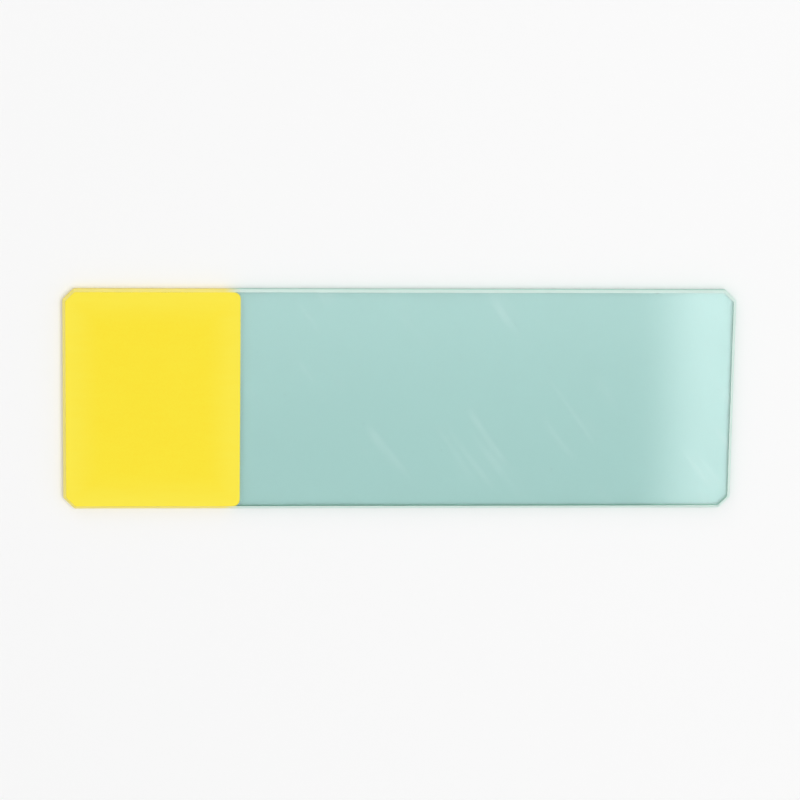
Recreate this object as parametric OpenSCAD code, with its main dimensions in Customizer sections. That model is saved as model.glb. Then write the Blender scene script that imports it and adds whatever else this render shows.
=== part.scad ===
// Microscope slide: a glass plate with clipped, ground corners and a printed marking field at one end.
// The plate lies flat with its printed face up. The origin is the centre of the underside.
// +X runs from the printed end to the clear end, and +Z runs up through the thickness.

/* [Glass plate] */
// Length of the plate
plate_length = 76.2; // [60:0.1:100]
// Width of the plate
plate_width = 25.4; // [20:0.1:60]
// Thickness of the plate
plate_thickness = 1; // [0.9:0.05:2]
// Leg of the 45 degree cut across each corner
corner_cut = 1.25; // [1:0.05:4]
// Radius that softens the two vertices of each cut corner
corner_radius = 0.4; // [0.1:0.05:0.8]
// Width and depth of the 45 degree bevel ground along the rim of both faces
rim_bevel = 0.3; // [0.05:0.01:0.4]

/* [Marking field] */
// Length of the printed field, measured from the end of the plate
field_length = 20; // [10:0.5:40]
// Thickness of the printed coat
field_thickness = 0.03; // [0.01:0.005:0.1]
// Bare glass left between the ground bevel and the coat
field_margin = 0.05; // [0:0.01:0.5]
// Radius of the field's two inner corners
field_radius = 0.75; // [0.2:0.05:3]

/* [Hidden] */
$fn = 48;

glass_colour = [0.80, 0.92, 0.88, 0.45];
field_colour = [0.97, 0.88, 0.20];

// Distance between two opposite corner cuts, measured square to them
diagonal_width = (plate_length + plate_width - 2 * corner_cut) / sqrt(2);
// Distance of the field's outline from the edge of the plate
field_inset = rim_bevel + field_margin;
// Overrun of the softened outline past the straight edges, which the bars alone then set
overrun = 0.0002;

// The eight vertices of the clipped outline, set in from the edge, counter-clockwise from the +X side.
function clipped_outline(inset) =
    let (
        x = plate_length / 2 - inset,
        y = plate_width / 2 - inset,
        cut = corner_cut - (2 - sqrt(2)) * inset
    )
    [
        [x, y - cut], [x - cut, y], [cut - x, y], [-x, y - cut],
        [-x, cut - y], [cut - x, -y], [x - cut, -y], [x, cut - y]
    ];

// The clipped outline with an arc at each vertex, a hair oversize. Side i faces 45 * i degrees from +X.
module softened_outline() {
    centres = clipped_outline(corner_radius);
    polygon([
        for (i = [0:7])
            for (angle = [45 * i, 45 * (i + 1)])
                centres[i] + (corner_radius + overrun) * [cos(angle), sin(angle)]
    ]);
    for (centre = centres)
        translate(centre)
            circle(corner_radius + 2 * overrun);
}

// A rectangle from the plate's printed end to the field's inner edge, with two rounded corners there.
module field_window() {
    half_width = plate_width / 2 - field_inset;
    translate([-plate_length / 2, 0]) {
        translate([0, -half_width])
            square([field_length - field_radius, 2 * half_width]);
        translate([0, field_radius - half_width])
            square([field_length, 2 * (half_width - field_radius)]);
        for (side = [-1, 1])
            translate([field_length - field_radius, side * (half_width - field_radius)])
                circle(field_radius);
    }
}

// A long bar with its four edges bevelled. Its two sides are a pair of opposite edges of the plate.
module bevelled_bar(width, angle) {
    y = width / 2;
    top = plate_thickness;
    cut = rim_bevel;
    rotate([0, 0, angle])
        rotate([90, 0, 90])
            linear_extrude(2 * (plate_length + plate_width), center = true)
                polygon([
                    [cut - y, 0], [y - cut, 0], [y, cut], [y, top - cut],
                    [y - cut, top], [cut - y, top], [-y, top - cut], [-y, cut]
                ]);
}

// The outline softens the corners, and one bar for each pair of opposite edges grinds their bevels.
module glass_plate() {
    color(glass_colour)
        intersection() {
            linear_extrude(plate_thickness)
                softened_outline();
            bevelled_bar(plate_width, 0);
            bevelled_bar(plate_length, 90);
            bevelled_bar(diagonal_width, 45);
            bevelled_bar(diagonal_width, 135);
        }
}

// The coat lies on the upper face, inside the ground rim, and follows the plate's cut corners.
module marking_field() {
    color(field_colour)
        translate([0, 0, plate_thickness])
            linear_extrude(field_thickness)
                intersection() {
                    polygon(clipped_outline(field_inset));
                    field_window();
                }
}

glass_plate();
marking_field();
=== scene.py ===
"""Finishes the microscope slide around its fixed frame, and sets it on a pale floor in soft light."""

import logging
import math
from collections.abc import Callable
from dataclasses import dataclass
from enum import Enum

import bmesh
import bpy
from mathutils import Matrix, Vector

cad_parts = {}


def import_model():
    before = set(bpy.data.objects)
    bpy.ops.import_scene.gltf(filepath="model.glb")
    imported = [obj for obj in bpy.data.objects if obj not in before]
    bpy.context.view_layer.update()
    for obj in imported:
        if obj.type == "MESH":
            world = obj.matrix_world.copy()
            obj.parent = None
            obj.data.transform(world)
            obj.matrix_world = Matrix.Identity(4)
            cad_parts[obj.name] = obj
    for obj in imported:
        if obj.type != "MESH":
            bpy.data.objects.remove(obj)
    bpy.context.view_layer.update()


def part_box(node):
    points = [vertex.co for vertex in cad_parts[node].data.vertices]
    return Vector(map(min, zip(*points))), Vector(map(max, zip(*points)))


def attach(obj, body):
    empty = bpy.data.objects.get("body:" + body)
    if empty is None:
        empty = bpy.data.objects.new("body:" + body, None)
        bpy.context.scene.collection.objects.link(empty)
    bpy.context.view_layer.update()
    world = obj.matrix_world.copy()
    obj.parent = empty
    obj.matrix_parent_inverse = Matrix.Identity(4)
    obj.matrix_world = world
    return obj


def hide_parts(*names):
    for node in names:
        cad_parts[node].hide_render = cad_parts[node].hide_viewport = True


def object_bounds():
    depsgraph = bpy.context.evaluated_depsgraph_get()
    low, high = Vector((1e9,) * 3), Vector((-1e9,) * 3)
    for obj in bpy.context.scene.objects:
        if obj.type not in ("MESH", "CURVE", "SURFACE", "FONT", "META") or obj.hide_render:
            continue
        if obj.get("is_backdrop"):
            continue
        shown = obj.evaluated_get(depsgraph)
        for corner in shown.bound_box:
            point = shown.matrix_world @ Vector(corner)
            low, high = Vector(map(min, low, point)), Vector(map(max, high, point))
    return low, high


MM = 0.001  # a millimetre in metres
LOG = logging.getLogger("slide")
LEAN = "lean"  # face attribute: how squarely a face looks up or down
POLISHED = 0.98  # lean over which a face is polished and not ground
LEVEL = 0.99999  # upright part of a level face's normal
STRAIGHT = 0.999  # share of its length that an edge runs along an axis
TOUCH = 0.001 * MM  # distance under which two places are one
WHITE = (1.0, 1.0, 1.0, 1.0)
ORIGIN = Vector((0.0, 0.0, 0.0))

Part = bmesh.types.BMEdge | bmesh.types.BMFace
Test = Callable[[Part], bool]
Colour = tuple[float, float, float]
Stretch = tuple[float, float, float]
Limits = tuple[float, float]
Paint = Colour | bpy.types.NodeSocket


class Node(Enum):
    """The frame's solids that the finished pieces stand for."""

    PLATE = "glass_plate"
    FIELD = "marking_field"


class Slot(Enum):
    """Names of the material slots."""

    GLASS = "clear_glass"
    ENAMEL = "yellow_enamel"


class Element(Enum):
    """What an edit-mode selection is made of, by its select mode and its mesh sequence."""

    EDGE = ("EDGE", "edges")
    FACE = ("FACE", "faces")


class Axis(Enum):
    """A direction in the slide's own frame, by its index."""

    X = 0
    Y = 1
    Z = 2


class MixSocket(Enum):
    """A Mix node's factor, its two colours and their mix, by their indexes."""

    FACTOR = 0
    FIRST = 6
    SECOND = 7
    RESULT = 2


# ---------------------------------------------------------------- shader wiring


class Value:
    """A number that a socket carries. Arithmetic on it adds Math nodes."""

    def __init__(self, shade: "Shade", socket: bpy.types.NodeSocket) -> None:
        """Keeps the socket and the tree that it is in."""
        self.shade = shade
        self.socket = socket

    def __add__(self, other: "Value | float") -> "Value":
        """Sum."""
        return self.shade.maths("ADD", self, other)

    __radd__ = __add__

    def __sub__(self, other: "Value | float") -> "Value":
        """Difference."""
        return self.shade.maths("SUBTRACT", self, other)

    def __rsub__(self, other: "Value | float") -> "Value":
        """Difference from a number."""
        return self.shade.maths("SUBTRACT", other, self)

    def __mul__(self, other: "Value | float") -> "Value":
        """Product."""
        return self.shade.maths("MULTIPLY", self, other)

    __rmul__ = __mul__

    def centred(self) -> "Value":
        """A value from 0 to 1, moved so that its middle is 0."""
        return self - 0.5

    def at_least(self, other: "Value | float") -> "Value":
        """The larger of the two."""
        return self.shade.maths("MAXIMUM", self, other)

    def below(self, limit: "Value | float") -> "Value":
        """1 where this is under the limit, and 0 elsewhere."""
        return self.shade.maths("LESS_THAN", self, limit)

    def ramp(self, low: float, high: float) -> "Value":
        """Smooth step from 0 at low to 1 at high.

        Args:
            low: the value that gives 0.
            high: the value that gives 1, which may be under low.

        Returns:
            The stepped value.
        """
        inputs = {"Value": self, "From Min": low, "From Max": high}
        made = self.shade.node("ShaderNodeMapRange", {"interpolation_type": "SMOOTHSTEP"}, inputs)
        return Value(self.shade, made.outputs["Result"])


class Shade:
    """A node tree that is being wired, from empty."""

    def __init__(self, tree: bpy.types.NodeTree) -> None:
        """Clears the tree."""
        self.tree = tree
        tree.nodes.clear()

    def node(self, kind: str, settings: dict, inputs: dict) -> bpy.types.Node:
        """Adds one node.

        Args:
            kind: the node's type.
            settings: attribute to value, set before the sockets.
            inputs: socket name or index to a number, a colour, a socket or a Value.

        Returns:
            The new node.
        """
        made = self.tree.nodes.new(kind)
        for name, setting in settings.items():
            setattr(made, name, setting)
        for key, given in inputs.items():
            source = given.socket if isinstance(given, Value) else given
            if isinstance(source, bpy.types.NodeSocket):
                self.tree.links.new(source, made.inputs[key])
            else:
                made.inputs[key].default_value = source
        return made

    def maths(self, operation: str, first: Value | float, second: Value | float) -> Value:
        """Adds one Math node with an operation and its two operands, and gives the result."""
        made = self.node("ShaderNodeMath", {"operation": operation}, {0: first, 1: second})
        return Value(self, made.outputs[0])

    def blend(self, share: Value, first: Paint, second: Paint) -> bpy.types.NodeSocket:
        """Mixes two colours.

        Args:
            share: how much of the second there is.
            first: the colour where share is 0.
            second: the colour where share is 1.

        Returns:
            The mixed colour's socket.
        """
        inputs = {MixSocket.FACTOR.value: share}
        for socket, colour in ((MixSocket.FIRST, first), (MixSocket.SECOND, second)):
            inputs[socket.value] = (*colour, 1.0) if isinstance(colour, tuple) else colour
        made = self.node("ShaderNodeMix", {"data_type": "RGBA"}, inputs)
        return made.outputs[MixSocket.RESULT.value]

    def place(self, stretch: Stretch = (1.0, 1.0, 1.0), turn: float = 0.0) -> bpy.types.NodeSocket:
        """Gives the piece's own coordinates, in metres.

        Args:
            stretch: factor on each axis, after the turn.
            turn: turn about Z in degrees.

        Returns:
            The vector's socket.
        """
        where = self.node("ShaderNodeTexCoord", {}, {}).outputs["Object"]
        turned = self.node("ShaderNodeMapping", {"vector_type": "POINT"}, {
            "Vector": where,
            "Rotation": (0.0, 0.0, math.radians(turn)),
        })
        scaled = self.node("ShaderNodeVectorMath", {"operation": "MULTIPLY"}, {
            0: turned.outputs["Vector"],
            1: stretch,
        })
        return scaled.outputs["Vector"]

    def along(self, axis: Axis) -> Value:
        """One of the piece's own coordinates, in metres."""
        parts = self.node("ShaderNodeSeparateXYZ", {}, {"Vector": self.place()})
        return Value(self, parts.outputs[axis.value])

    def noise(self, size: float, place: bpy.types.NodeSocket, detail: float = 2.0,
              roughness: float = 0.55) -> Value:
        """A noise from 0 to 1. Its size is in metres, and its detail is how many finer octaves it has."""
        inputs = {"Vector": place, "Scale": 1.0 / size, "Detail": detail, "Roughness": roughness}
        return Value(self, self.node("ShaderNodeTexNoise", {}, inputs).outputs["Fac"])

    def specks(self, spacing: float, radius: float, core: float) -> Value:
        """Scatters round specks.

        Args:
            spacing: about how far apart they lie, in metres.
            radius: radius of a speck, in metres.
            core: share of the radius inside which it is full.

        Returns:
            1 at the middle of each speck, and 0 away from them.
        """
        settings = {"voronoi_dimensions": "2D", "feature": "F1"}
        inputs = {"Vector": self.place(), "Scale": 1.0 / spacing, "Randomness": 1.0}
        cells = self.node("ShaderNodeTexVoronoi", settings, inputs)
        return Value(self, cells.outputs["Distance"]).ramp(radius / spacing, core * radius / spacing)

    def relief(self, height: Value, depth: float) -> bpy.types.NodeSocket:
        """The normal of a relief, whose height from 0 to 1 is a depth in metres."""
        inputs = {"Strength": 1.0, "Distance": depth, "Height": height}
        return self.node("ShaderNodeBump", {}, inputs).outputs["Normal"]

    def first_sight(self) -> Value:
        """Tells first sight from bounced light.

        Returns:
            1 on what the camera sees, directly or through glass or in a gloss, and 0 on bounced light.
        """
        path = self.node("ShaderNodeLightPath", {}, {}).outputs
        seen = Value(self, path["Is Camera Ray"]).at_least(Value(self, path["Is Glossy Ray"]))
        seen = seen.at_least(Value(self, path["Is Transmission Ray"]))
        bounces = Value(self, path["Diffuse Depth"])
        return seen * bounces.below(0.5)

    def principled(self, inputs: dict) -> bpy.types.NodeSocket:
        """Adds a Principled shader and gives its output."""
        return self.node("ShaderNodeBsdfPrincipled", {}, inputs).outputs["BSDF"]

    def mixed(self, share: Value | float, first: bpy.types.NodeSocket,
              second: bpy.types.NodeSocket) -> bpy.types.NodeSocket:
        """Mixes two shaders, by the share that the second has."""
        return self.node("ShaderNodeMixShader", {}, {0: share, 1: first, 2: second}).outputs["Shader"]

    def finish(self, **outputs: bpy.types.NodeSocket) -> None:
        """Links shaders to the material output, by the names of its sockets."""
        self.node("ShaderNodeOutputMaterial", {}, outputs)


def new_shade(name: str) -> tuple[bpy.types.Material, Shade]:
    """Makes an empty material.

    Args:
        name: its name.

    Returns:
        The material and its wiring.
    """
    material = bpy.data.materials.new(name)
    material.use_nodes = True
    return material, Shade(material.node_tree)


# ---------------------------------------------------------------- finishes


@dataclass(frozen=True)
class Zones:
    """Where a point of the plate lies, as values from 0 to 1."""

    lean: Value
    rim: Value
    top: Value
    # beside the printed field, where the field's yellow light is painted into the rim
    printed: Value


@dataclass(frozen=True)
class ClearGlass:
    """Pale soda-lime glass, polished on its faces and ground along its rim.

    A share is how much of a mix something is, and a spread is the full range that a noise shifts it over.
    Limits are where a smooth step is 0 and where it is 1: as shares of the thickness for the top, as
    distances from the field's end for the field's yellow light painted into the rim, and as noise for the
    strokes and their patches.
    """

    field_end: float
    thickness: float
    refraction: float = 1.52
    tint: Colour = (0.640, 0.815, 0.795)
    body: Colour = (0.10, 0.62, 0.50)
    density: float = 60.0
    smeared: Colour = (0.80, 0.91, 0.90)
    dust: Colour = (0.93, 0.97, 0.96)
    # Painted light from above: the frosted rim's upward bevels are painted paler than its upright band,
    # which is painted a deeper green.
    bevel_frost_painted_lit: Colour = (0.94, 1.00, 0.97)
    band_frost_painted_shade: Colour = (0.50, 0.93, 0.77)
    # Painted light: the printed field's yellow light, painted into the frosted rim beside it, paler on the
    # upward bevel.
    bevel_painted_field_light: Colour = (1.00, 0.87, 0.25)
    band_painted_field_light: Colour = (1.00, 0.82, 0.12)
    glow: Colour = (0.62, 0.97, 0.84)
    polished: float = 0.03
    smear_roughness: float = 0.05
    ground: float = 0.60
    ground_spread: float = 0.16
    matt: float = 0.75
    frost_share: float = 0.90
    # extra frost beside the field, which carries the field's painted yellow light
    painted_field_light_share: float = 0.06
    wheel_spread: float = 0.24
    grit_spread: float = 0.20
    # The rim is more translucent towards its bottom, which lightens the shade on the lower bevel.
    upper_glow: float = 0.12
    lower_glow: float = 0.40
    dust_share: float = 0.35
    dust_spacing: float = 8.0 * MM
    dust_radius: float = 0.08 * MM
    dust_core: float = 0.3
    grit: float = 0.05 * MM
    grit_depth: float = 0.010 * MM
    wheel: float = 0.6 * MM
    wheel_stretch: Stretch = (0.4, 0.4, 5.0)
    drawn: float = 9.0 * MM
    drawn_stretch: Stretch = (0.25, 1.0, 1.0)
    drawn_depth: float = 0.004 * MM
    top_limits: Limits = (0.4, 0.6)
    # where the field's yellow light painted into the rim fades out, from the field's end
    painted_field_light_limits: Limits = (0.3 * MM, -2.0 * MM)
    stroke_width: float = 1.8 * MM
    stroke_stretch: Stretch = (1.0, 0.10, 1.0)
    stroke_turn: float = -36.0
    stroke_limits: Limits = (0.54, 0.80)
    patch: float = 13.0 * MM
    patch_limits: Limits = (0.47, 0.64)

    def material(self) -> bpy.types.Material:
        """Wires the glass, which reads the plate's lean attribute.

        Returns:
            The finished material.
        """
        material, shade = new_shade("clear_glass")
        zones = self.zones(shade)
        grit = shade.noise(self.grit, shade.place(), detail=3.0).centred()
        wheel = shade.noise(self.wheel, shade.place(self.wheel_stretch), detail=3.0).centred()
        relief = shade.relief(grit * zones.rim, self.grit_depth)
        clear = self.clear(shade, zones, wheel, relief)
        # more frost beside the field, where the field's yellow light is painted into it
        frosted = self.frost_share + self.painted_field_light_share * zones.printed
        frosted = frosted + self.wheel_spread * wheel + self.grit_spread * grit
        specks = shade.specks(self.dust_spacing, self.dust_radius, self.dust_core)
        dust = specks * zones.top * (1.0 - zones.rim)
        share = frosted * zones.rim + self.dust_share * dust
        absorbed = shade.node("ShaderNodeVolumeAbsorption", {}, {
            "Color": (*self.body, 1.0),
            "Density": self.density,
        })
        surface = shade.mixed(share, clear, self.haze(shade, zones, relief))
        shade.finish(Surface=surface, Volume=absorbed.outputs["Volume"])
        return material

    def zones(self, shade: Shade) -> Zones:
        """Tells the polished faces, the ground rim and its halves apart.

        Args:
            shade: the material's wiring.

        Returns:
            Where the point lies.
        """
        mark = shade.node("ShaderNodeAttribute", {"attribute_name": LEAN}, {})
        lean = Value(shade, mark.outputs["Fac"])
        heights = [share * self.thickness for share in self.top_limits]
        # the rim takes the field's painted yellow light near the field's end
        painted_field_light_ends = [self.field_end + distance for distance in self.painted_field_light_limits]
        return Zones(
            lean=lean,
            rim=lean.below(POLISHED),
            top=shade.along(Axis.Z).ramp(*heights),
            printed=shade.along(Axis.X).ramp(*painted_field_light_ends),
        )

    def clear(self, shade: Shade, zones: Zones, wheel: Value,
              relief: bpy.types.NodeSocket) -> bpy.types.NodeSocket:
        """Wires the transparent glass, with its drawing waves and faint smears.

        Args:
            shade: the material's wiring.
            zones: where the point lies.
            wheel: the grinding wheel's marks, about 0.
            relief: the ground rim's normal.

        Returns:
            The shader's output.
        """
        smears = self.smears(shade) * zones.top * (1.0 - zones.rim)
        drawn = shade.noise(self.drawn, shade.place(self.drawn_stretch), detail=1.0)
        waves = shade.node("ShaderNodeBump", {}, {
            "Strength": 1.0,
            "Distance": self.drawn_depth,
            "Height": drawn * (1.0 - zones.rim),
            "Normal": relief,
        })
        polished = self.polished + self.smear_roughness * smears
        ground = self.ground + self.ground_spread * wheel
        return shade.principled({
            "Base Color": shade.blend(smears, self.tint, self.smeared),
            "IOR": self.refraction,
            "Transmission Weight": 1.0,
            "Roughness": polished * (1.0 - zones.rim) + ground * zones.rim,
            "Normal": waves.outputs["Normal"],
        })

    def haze(self, shade: Shade, zones: Zones, relief: bpy.types.NodeSocket) -> bpy.types.NodeSocket:
        """Wires the ground rim's frost with painted light in it: its upward bevels paler than its upright
        band, and the printed field's yellow light beside the field. Also the dust on the face.

        Args:
            shade: the material's wiring.
            zones: where the point lies.
            relief: the ground rim's normal.

        Returns:
            The shader's output.
        """
        # painted light from above: the upward bevels take the paler frost and the upright band the darker,
        # greener one
        bevel = zones.lean * zones.top
        frost_painted_from_above = shade.blend(bevel, self.band_frost_painted_shade, self.bevel_frost_painted_lit)
        # painted light: the printed field's yellow light, painted into the frost beside it
        painted_field_light = shade.blend(bevel, self.band_painted_field_light, self.bevel_painted_field_light)
        matt = shade.principled({
            "Base Color": shade.blend(zones.rim, self.dust, shade.blend(zones.printed, frost_painted_from_above, painted_field_light)),
            "Roughness": self.matt,
            "IOR": self.refraction,
            "Normal": relief,
        })
        glow = shade.node("ShaderNodeBsdfTranslucent", {}, {"Color": (*self.glow, 1.0)})
        # more translucent towards the bottom, which lightens the shade on the lower bevel; none where the
        # field's light is painted
        lit = self.lower_glow + (self.upper_glow - self.lower_glow) * zones.top
        return shade.mixed(lit * (1.0 - zones.printed), matt, glow.outputs["BSDF"])

    def smears(self, shade: Shade) -> Value:
        """Wires the faint pale strokes that a wiping cloth leaves.

        Args:
            shade: the material's wiring.

        Returns:
            1 on a stroke and 0 beside it.
        """
        lengthwise = shade.place(self.stroke_stretch, self.stroke_turn)
        strokes = shade.noise(self.stroke_width, lengthwise, detail=1.0).ramp(*self.stroke_limits)
        return strokes * shade.noise(self.patch, shade.place()).ramp(*self.patch_limits)


@dataclass(frozen=True)
class YellowEnamel:
    """Matt yellow enamel, screen printed, with a fine tooth that takes pencil.

    A weight is how much one noise counts beside the others, a spread is the full range that a noise
    shifts the roughness over, and the mottle's limits are where it starts and where it is full.
    """

    low: Vector
    high: Vector
    full: Colour = (0.975, 0.765, 0.012)
    thin: Colour = (0.980, 0.795, 0.022)
    rubbed: Colour = (0.980, 0.815, 0.045)
    border: float = 4.5 * MM
    worn_least: float = 0.5
    matt: float = 0.58
    pull_spread: float = 0.14
    tooth_spread: float = 0.10
    specular: float = 0.35
    cloud: float = 7.0 * MM
    cloud_weight: float = 0.35
    pull: float = 0.8 * MM
    pull_stretch: Stretch = (0.2, 1.0, 1.0)
    pull_weight: float = 0.25
    grain: float = 0.22 * MM
    grain_weight: float = 0.40
    mottle_limits: Limits = (0.32, 0.68)
    tooth: float = 0.06 * MM
    tooth_relief: float = 0.7
    grain_relief: float = 0.5
    tooth_depth: float = 0.009 * MM

    def material(self) -> bpy.types.Material:
        """Wires the enamel, which pales a little towards its border.

        Returns:
            The finished material.
        """
        material, shade = new_shade("yellow_enamel")
        cloud = shade.noise(self.cloud, shade.place())
        pull = shade.noise(self.pull, shade.place(self.pull_stretch), detail=3.0)
        tooth = shade.noise(self.tooth, shade.place(), detail=3.0)
        grain = shade.noise(self.grain, shade.place())
        mottle = self.cloud_weight * cloud + self.pull_weight * pull + self.grain_weight * grain
        body = shade.blend(mottle.ramp(*self.mottle_limits), self.full, self.thin)
        height = self.tooth_relief * tooth + self.grain_relief * grain
        roughness = self.matt + self.pull_spread * pull.centred() + self.tooth_spread * tooth.centred()
        shade.finish(Surface=shade.principled({
            "Base Color": shade.blend(self.worn(shade) * (self.worn_least + pull), body, self.rubbed),
            "Roughness": roughness,
            "Specular IOR Level": self.specular,
            "Normal": shade.relief(height, self.tooth_depth),
        }))
        return material

    def worn(self, shade: Shade) -> Value:
        """Finds the coat's border.

        Args:
            shade: the material's wiring.

        Returns:
            1 at the border and 0 a short way inside it.
        """
        across, along = shade.along(Axis.Y), shade.along(Axis.X)
        side = (across * across).ramp((self.high.y - self.border) ** 2, self.high.y ** 2)
        outer = along.ramp(self.low.x + self.border, self.low.x)
        inner = along.ramp(self.high.x - self.border, self.high.x)
        return side.at_least(outer).at_least(inner)


@dataclass(frozen=True)
class PaleFloor:
    """A plain pale surface that keeps its shadows and fades to the backdrop's white far away."""

    bounced: float = 0.85
    seen: float = 0.97
    fade_start: float = 0.08
    fade_end: float = 0.45

    def material(self) -> bpy.types.Material:
        """Wires the floor.

        Returns:
            The finished material.
        """
        material, shade = new_shade("pale_floor")
        seen = shade.first_sight()
        dim, bright = (shade.node("ShaderNodeBsdfDiffuse", {}, {"Color": (level, level, level, 1.0)})
                       for level in (self.bounced, self.seen))
        matt = shade.mixed(seen, dim.outputs["BSDF"], bright.outputs["BSDF"])
        white = shade.node("ShaderNodeEmission", {}, {"Color": WHITE, "Strength": 1.0})
        reach = shade.node("ShaderNodeVectorMath", {"operation": "LENGTH"}, {0: shade.place()})
        far = Value(shade, reach.outputs["Value"]).ramp(self.fade_start, self.fade_end)
        shade.finish(Surface=shade.mixed(far * seen, matt, white.outputs["Emission"]))
        return material


# ---------------------------------------------------------------- modelling


class Blank:
    """A piece on the bench: a block that edit-mode operators shape."""

    def __init__(self, name: str, low: Vector, high: Vector) -> None:
        """Adds a block.

        Args:
            name: the piece's name.
            low: the block's lowest corner.
            high: its highest corner.
        """
        bpy.ops.object.select_all(action="DESELECT")
        bpy.ops.mesh.primitive_cube_add(size=1.0, location=(low + high) / 2, scale=high - low)
        bpy.ops.object.transform_apply(location=True, rotation=True, scale=True)
        self.piece = bpy.context.object
        self.piece.name = name
        self.piece.data.name = name

    def select(self, element: Element, test: Test) -> int:
        """Selects in edit mode, and leaves everything else unselected.

        Args:
            element: edges or faces.
            test: whether one of them is wanted.

        Returns:
            How many were selected.
        """
        mode, sequence = element.value
        bpy.ops.object.mode_set(mode="EDIT")
        bpy.ops.mesh.select_mode(type=mode)
        bpy.ops.mesh.select_all(action="DESELECT")
        form = bmesh.from_edit_mesh(self.piece.data)
        wanted = [part for part in getattr(form, sequence) if test(part)]
        for part in wanted:
            part.select_set(True)
        bmesh.update_edit_mesh(self.piece.data)
        return len(wanted)

    def bevel(self, test: Test, width: float, segments: int = 1) -> None:
        """Bevels the edges that pass a test.

        Args:
            test: whether an edge is wanted.
            width: how far the new edges lie from the old one, along its faces.
            segments: how many faces the bevel has.
        """
        self.select(Element.EDGE, test)
        bpy.ops.mesh.bevel(offset=width, offset_type="OFFSET", segments=segments, affect="EDGES",
                           clamp_overlap=False)
        bpy.ops.object.mode_set(mode="OBJECT")

    def divide(self, axis: Axis, shortest: float, pitch: float) -> None:
        """Subdivides the long straight edges along an axis, and leaves the level faces whole.

        Args:
            axis: the direction of the edges.
            shortest: length under which an edge is left alone.
            pitch: about how long each new edge is.
        """
        longest = 0.0

        def is_long(edge: bmesh.types.BMEdge) -> bool:
            """Tests an edge, and keeps the length of the longest that passes.

            Args:
                edge: the edge.

            Returns:
                Whether it runs along the axis and is long enough.
            """
            nonlocal longest
            run = edge.verts[1].co - edge.verts[0].co
            wanted = run.length > shortest and abs(run[axis.value]) > STRAIGHT * run.length
            longest = max(longest, run.length) if wanted else longest
            return wanted

        if self.select(Element.EDGE, is_long):
            bpy.ops.mesh.subdivide(number_cuts=max(1, round(longest / pitch) - 1))
            self.select(Element.FACE, is_level)
            bpy.ops.mesh.dissolve_faces(use_verts=False)
        bpy.ops.object.mode_set(mode="OBJECT")

    def waver(self, group: str, test: Callable[[Vector], bool], axis: Axis,
              size: float, amount: float) -> None:
        """Moves vertices a little along one axis, by a smooth noise.

        Args:
            group: name of the vertex group that holds them.
            test: whether the vertex at a place moves.
            axis: the direction it moves in.
            size: width of the noise's features.
            amount: full range of the movement.
        """
        moving = [v.index for v in self.piece.data.vertices if test(v.co)]
        self.piece.vertex_groups.new(name=group).add(moving, 1.0, "REPLACE")
        noise = bpy.data.textures.new(group, type="CLOUDS")
        noise.noise_scale = size
        modifier = self.piece.modifiers.new(group, "DISPLACE")
        modifier.texture = noise
        modifier.texture_coords = "LOCAL"
        modifier.direction = axis.name
        modifier.mid_level = 0.5
        modifier.strength = amount
        modifier.vertex_group = group
        bpy.ops.object.modifier_apply(modifier=modifier.name)

    def smooth(self, angle: float) -> None:
        """Shades the piece smooth. Level faces stay flat.

        Args:
            angle: the angle in degrees under which two faces blend.
        """
        bpy.ops.object.shade_smooth_by_angle(angle=math.radians(angle))
        for face in self.piece.data.polygons:
            face.use_smooth = not is_level(face)

    def dress(self, material: bpy.types.Material, node: Node, slot: Slot) -> None:
        """Gives the piece its material and its place on the frame.

        Args:
            material: its finish.
            node: the frame's solid that it stands for.
            slot: not used.
        """
        self.piece.data.materials.append(material)
        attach(self.piece, "root")
        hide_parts(node.value)
        LOG.info("%s: %d vertices, %d faces", self.piece.name, len(self.piece.data.vertices),
                 len(self.piece.data.polygons))


def upright(edge: bmesh.types.BMEdge) -> bool:
    """Whether an edge runs along Z."""
    run = edge.verts[1].co - edge.verts[0].co
    return abs(run.z) > STRAIGHT * run.length


def turn_offset(radius: float) -> float:
    """How far a bevel's edges lie from the old edge where it rounds a 45 degree turn to a radius."""
    return radius * math.tan(math.radians(45.0) / 2)


def inset_cut(cut: float, inset: float) -> float:
    """The leg of a 45 degree corner cut, once the outline has moved inwards by an inset all round."""
    return cut - (2.0 - math.sqrt(2.0)) * inset


def is_level(face: bmesh.types.BMFace | bpy.types.MeshPolygon) -> bool:
    """Whether a face looks straight up or down."""
    return abs(face.normal.z) > LEVEL


def level_at(height: float) -> Test:
    """A test for edges that lie wholly at one height."""
    return lambda edge: all(abs(v.co.z - height) < TOUCH for v in edge.verts)


# ---------------------------------------------------------------- the slide


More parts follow.
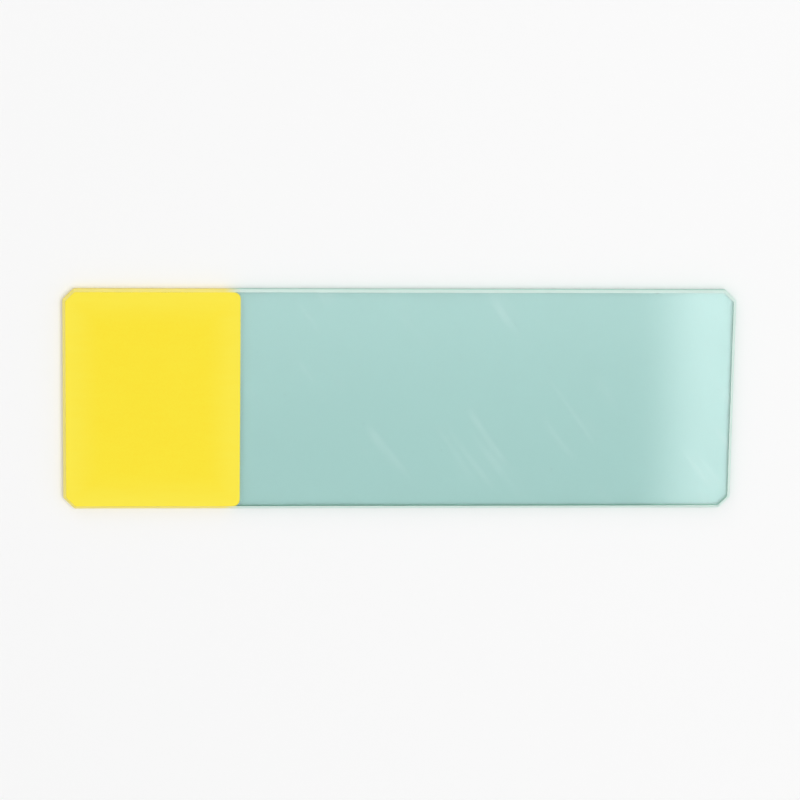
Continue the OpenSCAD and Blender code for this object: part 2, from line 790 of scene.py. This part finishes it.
@dataclass
class GlassPlate:
    """The glass: a plate with cut corners and a ground rim.

    A ripple is the width of the noise that the grinding leaves along an edge. Angles are in degrees.
    """

    low: Vector
    high: Vector
    corner_cut: float = 1.25 * MM
    corner_radius: float = 0.4 * MM
    corner_segments: int = 6
    corner_reach: float = 2.5 * MM
    rim_bevel: float = 0.3 * MM
    arris: float = 0.015 * MM
    arris_angle: float = 30.0
    arris_reach: float = 0.045 * MM
    rim_pitch: float = 0.6 * MM
    shortest_side: float = 10.0 * MM
    waver: float = 0.03 * MM
    arris_ripple: float = 6.0 * MM
    nose_ripple: float = 7.0 * MM
    smooth_angle: float = 12.0

    def build(self) -> Blank:
        """Models the plate and marks its ground faces.

        Returns:
            The plate.
        """
        blank = Blank("ground_glass_plate", self.low, self.high)
        blank.bevel(upright, self.corner_cut)
        blank.bevel(upright, turn_offset(self.corner_radius), self.corner_segments)
        top, bottom = level_at(self.high.z), level_at(self.low.z)
        blank.bevel(lambda edge: top(edge) or bottom(edge), self.rim_bevel)
        blank.bevel(self.is_arris, self.arris)
        blank.divide(Axis.X, self.shortest_side, self.rim_pitch)
        blank.divide(Axis.Y, self.shortest_side, self.rim_pitch)
        self.grind(blank)
        blank.smooth(self.smooth_angle)
        self.mark_lean(blank)
        return blank

    def is_arris(self, edge: bmesh.types.BMEdge) -> bool:
        """Finds the edges that the grinding left along the rim.

        Args:
            edge: the edge.

        Returns:
            Whether it is one of them.
        """
        if upright(edge) or len(edge.link_faces) != 2:
            return False
        return edge.calc_face_angle() > math.radians(self.arris_angle)

    def grind(self, blank: Blank) -> None:
        """Gives the ground bevels the slight waver of a hand-held edge. The polished faces stay flat.

        Args:
            blank: the plate.
        """
        reach = self.rim_bevel + self.arris_reach
        side, end = self.high.y - reach, self.high.x - reach
        blank.waver("side_arrises", lambda p: self.on_face(p) and abs(p.y) > side and self.off_corner(p),
                    Axis.Y, self.arris_ripple, self.waver)
        blank.waver("end_arrises", lambda p: self.on_face(p) and abs(p.x) > end and self.off_corner(p),
                    Axis.X, self.arris_ripple, self.waver)
        blank.waver("nose_arrises", lambda p: self.on_nose(p) and self.off_corner(p),
                    Axis.Z, self.nose_ripple, self.waver)

    def on_face(self, place: Vector) -> bool:
        """Whether a vertex lies on a polished face."""
        return min(abs(place.z - self.low.z), abs(place.z - self.high.z)) < TOUCH

    def on_nose(self, place: Vector) -> bool:
        """Whether a vertex lies on the rim's upright band."""
        return max(abs(place.x) - self.high.x, abs(place.y) - self.high.y) > -TOUCH

    def off_corner(self, place: Vector) -> bool:
        """Whether a vertex lies clear of the cut corners."""
        side, end = self.high.y - self.corner_reach, self.high.x - self.corner_reach
        return abs(place.x) < end or abs(place.y) < side

    def mark_lean(self, blank: Blank) -> None:
        """Notes how squarely each face looks up or down, from 0 on the upright band to 1.

        Args:
            blank: the plate.
        """
        mesh = blank.piece.data
        lean = mesh.attributes.new(LEAN, "FLOAT", "FACE")
        for face in mesh.polygons:
            lean.data[face.index].value = abs(face.normal.z)


@dataclass
class MarkingField:
    """The printed field: a thin coat with soft shoulders, a trace of a bead and a printed edge."""

    low: Vector
    high: Vector
    corner_cut: float
    corner_radius: float = 0.75 * MM
    corner_segments: int = 10
    end_radius: float = 0.3 * MM
    end_segments: int = 4
    sink: float = 0.01 * MM
    reach: float = 0.03 * MM
    shoulder: float = 0.018 * MM
    shoulder_segments: int = 3
    bead_width: float = 0.14 * MM
    bead_height: float = 0.005 * MM
    shortest_side: float = 5.0 * MM
    edge_pitch: float = 0.2 * MM
    ragged: float = 0.035 * MM
    ragged_ripple: float = 0.5 * MM
    corner_gap: float = 0.3 * MM
    smooth_angle: float = 40.0

    def build(self) -> Blank:
        """Models the coat, which runs out to the arris of the ground rim.

        Returns:
            The coat.
        """
        low = self.low - Vector((self.reach, self.reach, self.sink))
        high = self.high + Vector((0.0, self.reach, 0.0))
        middle = (low.x + high.x) / 2

        def outer(edge: bmesh.types.BMEdge) -> bool:
            """Whether an upright edge is at the slide's end."""
            return upright(edge) and edge.verts[0].co.x < middle

        def inner(edge: bmesh.types.BMEdge) -> bool:
            """Whether an upright edge is on the slide's face."""
            return upright(edge) and edge.verts[0].co.x > middle

        blank = Blank("yellow_marking_field", low, high)
        blank.bevel(outer, self.corner_cut)
        blank.bevel(outer, turn_offset(self.end_radius), self.end_segments)
        blank.bevel(inner, self.corner_radius, self.corner_segments)
        blank.divide(Axis.X, self.shortest_side, self.edge_pitch)
        blank.divide(Axis.Y, self.shortest_side, self.edge_pitch)
        self.roughen(blank, high)
        blank.bevel(level_at(high.z), self.shoulder, self.shoulder_segments)
        blank.select(Element.FACE, lambda face: face.normal.z > LEVEL)
        bpy.ops.mesh.inset(thickness=self.bead_width, depth=-self.bead_height)
        bpy.ops.object.mode_set(mode="OBJECT")
        blank.smooth(self.smooth_angle)
        return blank

    def roughen(self, blank: Blank, high: Vector) -> None:
        """Gives the coat's outline the fine unevenness of a screen-printed edge.

        Args:
            blank: the coat.
            high: its highest corner.
        """
        straight = high.x - self.corner_radius - self.corner_gap
        blank.waver("inner_edge", lambda p: p.x > high.x - TOUCH, Axis.X, self.ragged_ripple, self.ragged)
        blank.waver("side_edges", lambda p: abs(p.y) > high.y - TOUCH and p.x < straight,
                    Axis.Y, self.ragged_ripple, self.ragged)


class Slide:
    """The whole slide, sized from the frame."""

    def build(self) -> None:
        """Builds both pieces and dresses them."""
        plate_low, plate_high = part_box(Node.PLATE.value)
        field_low, field_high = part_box(Node.FIELD.value)
        plate = GlassPlate(plate_low, plate_high)
        cut = inset_cut(plate.corner_cut, field_low.x - plate_low.x)
        field = MarkingField(field_low, field_high, corner_cut=cut)
        glass = ClearGlass(field_end=field_high.x, thickness=plate_high.z - plate_low.z)
        enamel = YellowEnamel(field_low, field_high)
        plate.build().dress(glass.material(), Node.PLATE, Slot.GLASS)
        field.build().dress(enamel.material(), Node.FIELD, Slot.ENAMEL)


# ---------------------------------------------------------------- studio


def aimed(place: Vector, target: Vector) -> Matrix:
    """Sets up a camera or lamp so that it looks at a point and holds the slide's long edges level.

    Args:
        place: where it stands.
        target: the point that it looks at.

    Returns:
        Its world matrix.
    """
    back = (place - target).normalized()
    along = Vector((1.0, 0.0, 0.0))
    right = (along - along.dot(back) * back).normalized()
    turn = Matrix((right, back.cross(right), back)).transposed()
    return Matrix.Translation(place) @ turn.to_4x4()


@dataclass
class Lamp:
    """A soft rectangular lamp that faces the slide, and fades towards its edges as a diffuser does.

    Its radiance is how bright its middle is, where 1 is the backdrop's white, and its feather is the
    share of its width and of its depth over which it fades.
    """

    name: str
    place: Vector
    size: Vector
    radiance: float
    feather: tuple[float, float]

    def hang(self) -> None:
        """Adds the lamp."""
        data = bpy.data.lights.new(self.name, "AREA")
        data.shape = "RECTANGLE"
        data.size, data.size_y = self.size
        data.energy = self.radiance * math.pi * self.size.x * self.size.y
        self.diffuse(data)
        lamp = bpy.data.objects.new(self.name, data)
        lamp.matrix_world = aimed(self.place, ORIGIN)
        bpy.context.scene.collection.objects.link(lamp)

    def diffuse(self, data: bpy.types.AreaLight) -> None:
        """Fades the lamp's face out towards its edges.

        Args:
            data: the lamp's data.
        """
        data.use_nodes = True
        shade = Shade(data.node_tree)
        face = shade.node("ShaderNodeNewGeometry", {}, {}).outputs["Parametric"]
        parts = shade.node("ShaderNodeSeparateXYZ", {}, {"Vector": face}).outputs
        level = 1.0
        for axis, fade in zip((Axis.X, Axis.Y), self.feather):
            across = Value(shade, parts[axis.value])
            level = across.ramp(0.0, fade) * across.ramp(1.0, 1.0 - fade) * level
        glow = shade.node("ShaderNodeEmission", {}, {"Color": WHITE, "Strength": level})
        shade.node("ShaderNodeOutputLight", {}, {"Surface": glow.outputs["Emission"]})


@dataclass
class Studio:
    """The floor, the light and the camera."""

    floor_size: float = 8.0
    floor_gap: float = 0.04 * MM
    world_level: float = 0.60
    view_offset: Vector = Vector((-28.0, 92.0, 414.0)) * MM
    frame_share: float = 0.84
    sensor: float = 36.0
    near_clip: float = 0.01

    def build(self) -> None:
        """Sets up everything round the slide."""
        low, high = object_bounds()
        self.lay_floor(low)
        self.light_world()
        for lamp in self.lamps():
            lamp.hang()
        self.place_camera(low, high)
        scene = bpy.context.scene
        scene.view_settings.view_transform = "Standard"
        scene.cycles.blur_glossy = 0.0  # light that has left the floor passes the glass unblurred

    def lamps(self) -> list[Lamp]:
        """A key lamp beyond the clear end, a weaker one overhead and two low panels at the sides.

        The key lamp and the panels lie reflected in the glass, each from its own side.

        Returns:
            The lamps.
        """
        key = Lamp("key", place=Vector((0.345, 0.0, 0.92)), size=Vector((0.40, 0.90)), radiance=2.6,
                   feather=(0.07, 0.15))
        sky = Lamp("sky", place=Vector((0.09, 0.10, 0.90)), size=Vector((0.70, 0.70)), radiance=1.4,
                   feather=(0.20, 0.20))
        far = Lamp("far_panel", place=Vector((-0.46, 0.82, 0.42)), size=Vector((0.42, 0.40)),
                   radiance=1.3, feather=(0.04, 0.10))
        near = Lamp("near_panel", place=Vector((0.86, -0.51, 0.29)), size=Vector((0.42, 0.40)),
                    radiance=0.5, feather=(0.04, 0.10))
        return [key, sky, far, near]

    def lay_floor(self, low: Vector) -> None:
        """Lays the floor a hair under the slide, so that no two faces share a plane.

        Args:
            low: the slide's lowest corner.
        """
        bpy.ops.object.select_all(action="DESELECT")
        bpy.ops.mesh.primitive_plane_add(size=self.floor_size, location=(0.0, 0.0, low.z - self.floor_gap))
        floor = bpy.context.object
        floor.name = "floor"
        floor.data.materials.append(PaleFloor().material())
        floor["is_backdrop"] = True

    def light_world(self) -> None:
        """Lights evenly from all round, and shows white behind the slide."""
        world = bpy.data.worlds.new("studio")
        world.use_nodes = True
        bpy.context.scene.world = world
        shade = Shade(world.node_tree)
        level = shade.first_sight() * (1.0 - self.world_level) + self.world_level
        light = shade.node("ShaderNodeBackground", {}, {"Color": WHITE, "Strength": level})
        shade.node("ShaderNodeOutputWorld", {}, {"Surface": light.outputs["Background"]})

    def place_camera(self, low: Vector, high: Vector) -> None:
        """Looks down on the slide's face, from a little beyond its far long edge.

        Args:
            low: the slide's lowest corner.
            high: its highest corner.
        """
        target = Vector(((low.x + high.x) / 2, (low.y + high.y) / 2, high.z))
        data = bpy.data.cameras.new("camera")
        data.sensor_width = self.sensor
        data.lens = self.frame_share * self.sensor * self.view_offset.length / (high.x - low.x)
        data.clip_start = self.near_clip
        camera = bpy.data.objects.new("camera", data)
        camera.matrix_world = aimed(target + self.view_offset, target)
        bpy.context.scene.collection.objects.link(camera)
        bpy.context.scene.camera = camera


def main() -> None:
    """Loads the frame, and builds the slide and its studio."""
    logging.basicConfig(level=logging.INFO, format="%(message)s")
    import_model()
    Slide().build()
    Studio().build()


if __name__ == "__main__":
    main()
